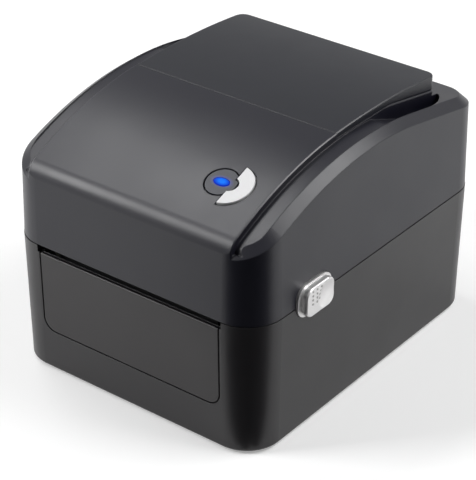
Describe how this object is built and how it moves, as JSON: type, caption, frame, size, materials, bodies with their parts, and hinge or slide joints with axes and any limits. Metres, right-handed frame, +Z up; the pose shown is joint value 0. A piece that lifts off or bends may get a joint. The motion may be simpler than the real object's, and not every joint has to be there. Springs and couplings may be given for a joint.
{
  "type": "label printer",
  "caption": "Desktop direct-thermal label printer with an arched clamshell cover, a raised top plate, a front label slot and side release buttons.",
  "frame": {"origin": "centre of the bounding box's bottom, on the table top", "axes": "-Y is the front with the label slot, +X is the right side seen from the front, +Z is up"},
  "size_m": [0.1882, 0.2234, 0.1597],
  "materials": {
    "case_plastic": "fine texture",
    "cover_plastic": "fine texture",
    "plate_plastic": "fine texture",
    "panel_plastic": "fine texture",
    "foot_rubber": "matt",
    "steel": "ground",
    "tray_plastic": "moulded",
    "screw_steel": "zinc plated",
    "frame_steel": "galvanised sheet",
    "platen_rubber": "ground smooth",
    "bearing_plastic": "natural",
    "gear_plastic": "natural",
    "motor_metal": "plated can",
    "brass": "hobbed",
    "holder_plastic": "moulded",
    "sensor_plastic": "moulded",
    "board": "solder resist",
    "socket_black": "moulded",
    "socket_metal": "tinned",
    "rocker_black": "moulded",
    "liner_plastic": "moulded",
    "release_grey": "satin",
    "latch_plastic": "moulded",
    "heat_sink_metal": "as cast",
    "ceramic": "glazed",
    "spring_steel": "drawn",
    "tear_steel": "rolled",
    "button_white": "satin",
    "disc_black": "fine texture",
    "light_blue": "lit diffuser"
  },
  "bodies": {
    "case": {"lower_case": "case_plastic", "front_panel": "panel_plastic", "rubber_feet": "foot_rubber", "hinge_pin_left": "steel", "hinge_pin_right": "steel", "inner_tray": "tray_plastic", "tray_screws": "screw_steel", "engine_frame": "frame_steel", "bearing_left": "bearing_plastic", "bearing_right": "bearing_plastic", "idler_post": "steel", "motor": "motor_metal", "motor_screws": "screw_steel", "rack_guide": "tray_plastic", "sensor_rail": "steel", "main_board": "board", "board_screws": "screw_steel", "dc_jack": "socket_black", "usb_socket": "socket_metal", "switch_body": "socket_black"},
    "cover": {"upper_cover": "cover_plastic", "top_plate": "plate_plastic", "cover_liner": "liner_plastic", "liner_screws": "screw_steel", "latch_pin_left": "steel", "latch_pin_right": "steel", "head_carrier": "frame_steel", "head_pivot": "steel", "head_spring_left": "spring_steel", "head_spring_right": "spring_steel", "tear_bar": "tear_steel", "status_disc": "disc_black", "status_light": "light_blue", "button_board": "board"},
    "print_head": {"heat_sink": "heat_sink_metal", "head_ceramic": "ceramic"},
    "feed_key": {"feed_button": "button_white"},
    "release_left": {"release_button_left": "release_grey"},
    "release_right": {"release_button_right": "release_grey"},
    "latch_hook_left": {"latch_left": "latch_plastic"},
    "latch_hook_right": {"latch_right": "latch_plastic"},
    "rocker": {"power_rocker": "rocker_black"},
    "platen": {"platen_shaft": "steel", "platen_rubber": "platen_rubber", "platen_gear": "gear_plastic"},
    "idler": {"idler_gear": "gear_plastic"},
    "motor_shaft": {"motor_pinion": "brass"},
    "holder_left": {"roll_holder_left": "holder_plastic"},
    "holder_right": {"roll_holder_right": "holder_plastic"},
    "hub_left": {"core_hub_left": "holder_plastic"},
    "hub_right": {"core_hub_right": "holder_plastic"},
    "centring": {"centring_pinion": "gear_plastic"},
    "sensor": {"sensor_carriage": "sensor_plastic"}
  },
  "joints": [
    {"name": "cover_hinge", "type": "hinge", "parent": "case", "child": "cover", "pos_m": [0, 0.10448, 0.084], "axis": [-1, 0, 0], "range_deg": [0, 90]},
    {"name": "head_pressure", "type": "hinge", "parent": "cover", "child": "print_head", "pos_m": [0, -0.068, 0.0881], "axis": [-1, 0, 0], "range_deg": [0, 3], "stiffness_Nm_per_rad": 2, "springref_deg": -5.73, "deforming": ["head_spring_left", "head_spring_right"]},
    {"name": "feed_press", "type": "slide", "parent": "cover", "child": "feed_key", "axis": [0, 0.3428, -0.9394], "range_m": [0, 0.0008], "stiffness_N_per_m": 700, "springref_m": -0.001},
    {"name": "release_right_press", "type": "slide", "parent": "cover", "child": "release_right", "axis": [-1, 0, 0], "range_m": [0, 0.003], "stiffness_N_per_m": 400, "springref_m": -0.002},
    {"name": "release_left_press", "type": "slide", "parent": "cover", "child": "release_left", "axis": [1, 0, 0], "range_m": [0, 0.003], "stiffness_N_per_m": 400, "springref_m": -0.002},
    {"name": "latch_right_swing", "type": "hinge", "parent": "cover", "child": "latch_hook_right", "pos_m": [0.074, -0.0595, 0.112], "axis": [0, 1, 0], "range_deg": [0, 8]},
    {"name": "latch_left_swing", "type": "hinge", "parent": "cover", "child": "latch_hook_left", "pos_m": [-0.074, -0.0595, 0.112], "axis": [0, -1, 0], "range_deg": [0, 8]},
    {"name": "power_rocker_tilt", "type": "hinge", "parent": "case", "child": "rocker", "pos_m": [0.046, 0.10656, 0.027], "axis": [-1, 0, 0], "range_deg": [0, 14]},
    {"name": "platen_spin", "type": "hinge", "parent": "case", "child": "platen", "pos_m": [0, -0.0927, 0.0729], "axis": [1, 0, 0], "continuous": true},
    {"name": "idler_spin", "type": "hinge", "parent": "case", "child": "idler", "pos_m": [-0.07375, -0.09083, 0.05862], "axis": [1, 0, 0], "continuous": true},
    {"name": "motor_spin", "type": "hinge", "parent": "case", "child": "motor_shaft", "pos_m": [-0.07375, -0.078, 0.046], "axis": [1, 0, 0], "continuous": true},
    {"name": "holder_right_slide", "type": "slide", "parent": "case", "child": "holder_right", "axis": [-1, 0, 0], "range_m": [0, 0.03]},
    {"name": "holder_left_slide", "type": "slide", "parent": "case", "child": "holder_left", "axis": [1, 0, 0], "range_m": [0, 0.03]},
    {"name": "centring_spin", "type": "hinge", "parent": "case", "child": "centring", "pos_m": [0, 0.026, 0.0088], "axis": [0, 0, 1], "range_deg": [-1, 240]},
    {"name": "hub_right_spin", "type": "hinge", "parent": "holder_right", "child": "hub_right", "pos_m": [0.048, 0.026, 0.0713], "axis": [1, 0, 0], "continuous": true},
    {"name": "hub_left_spin", "type": "hinge", "parent": "holder_left", "child": "hub_left", "pos_m": [-0.048, 0.026, 0.0713], "axis": [1, 0, 0], "continuous": true},
    {"name": "sensor_slide", "type": "slide", "parent": "case", "child": "sensor", "axis": [1, 0, 0], "range_m": [-0.044, 0.044]}
  ],
  "couplings": [
    {"joint": "latch_right_swing", "follows": "release_right_press", "rad_per_m": 44.4},
    {"joint": "latch_left_swing", "follows": "release_left_press", "rad_per_m": 44.4},
    {"joint": "idler_spin", "follows": "platen_spin", "ratio": -1.4},
    {"joint": "motor_spin", "follows": "platen_spin", "ratio": 4.6},
    {"joint": "holder_left_slide", "follows": "holder_right_slide", "ratio": 1},
    {"joint": "centring_spin", "follows": "holder_right_slide", "rad_per_m": 138.89}
  ]
}
